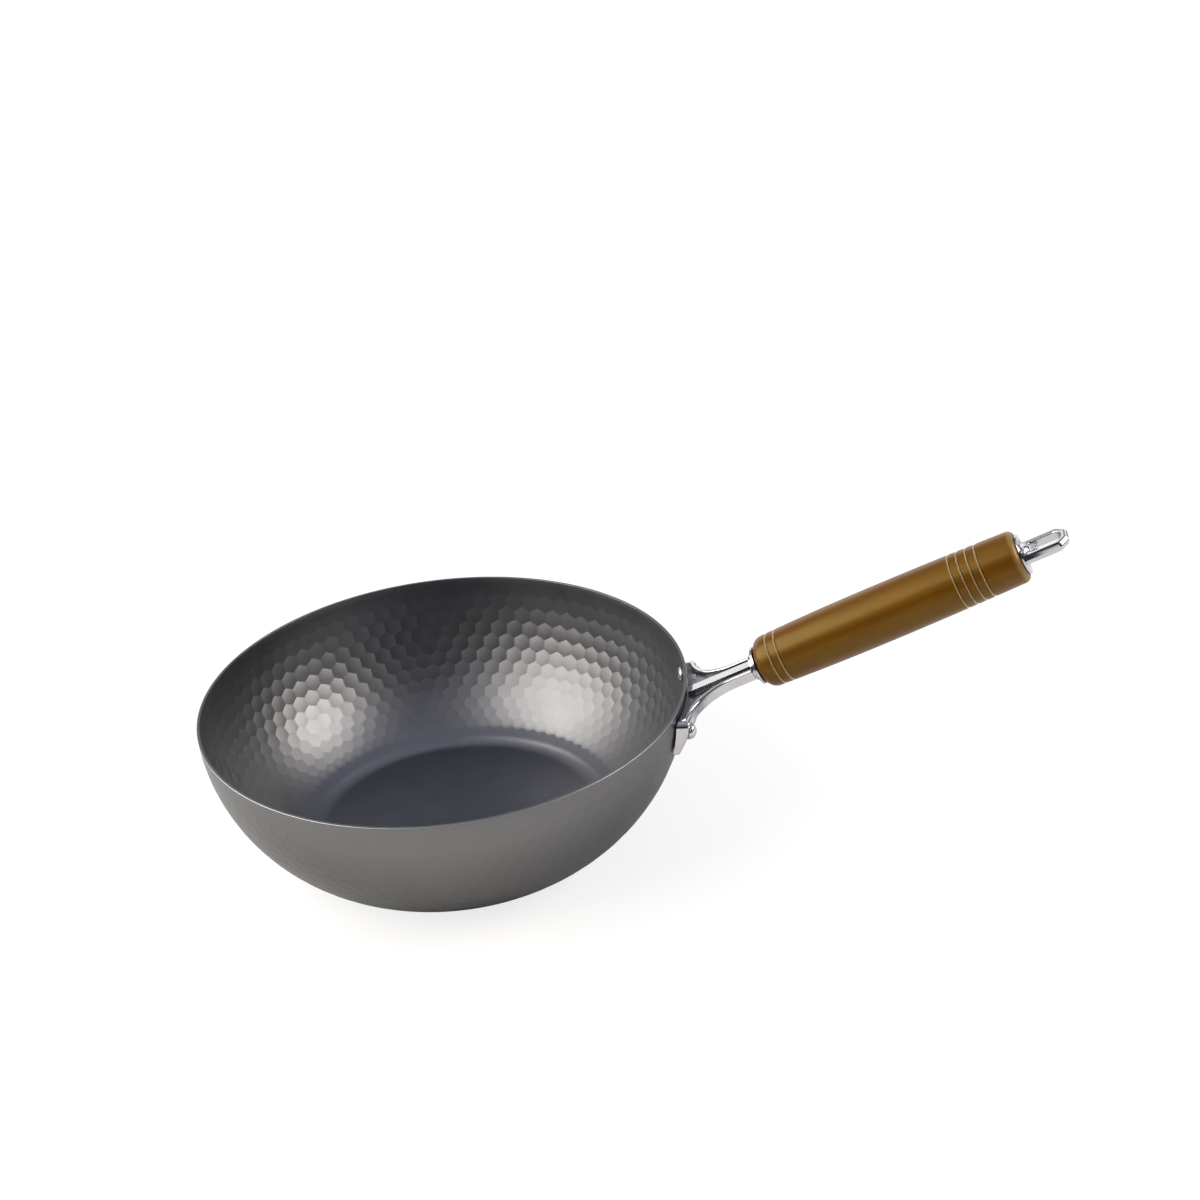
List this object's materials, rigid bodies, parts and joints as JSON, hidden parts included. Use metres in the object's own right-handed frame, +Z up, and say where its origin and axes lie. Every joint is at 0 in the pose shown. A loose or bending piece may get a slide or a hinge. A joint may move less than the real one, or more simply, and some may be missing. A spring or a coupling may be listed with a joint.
{
  "type": "frying pan",
  "caption": "Deep round iron frying pan with a hexagon-pressed wall, a riveted chromed bracket, a turned wooden grip and a slotted hanging eye.",
  "frame": {"origin": "centre of the flat underside of the base", "axes": "+X from the bowl's centre towards the handle, +Z up through the bowl's mouth"},
  "size_m": [0.4917, 0.28, 0.1781],
  "materials": {
    "iron": "dark grey heat-treated sheet iron with a fine satin sheen, bright along the cut rim",
    "chrome": "polished chrome plate over a cast and buffed blank",
    "steel": "bright zinc-plated steel",
    "wood": "turned hardwood, stained honey brown, with a satin sheen"
  },
  "bodies": {
    "root": {"pan_body": "iron", "handle_bracket": "chrome", "rivet_left": "steel", "rivet_right": "steel", "front_ferrule": "chrome", "wooden_grip": "wood", "tie_rod": "steel", "hanging_eye": "chrome", "tie_rod_nut": "steel"}
  },
  "joints": []
}
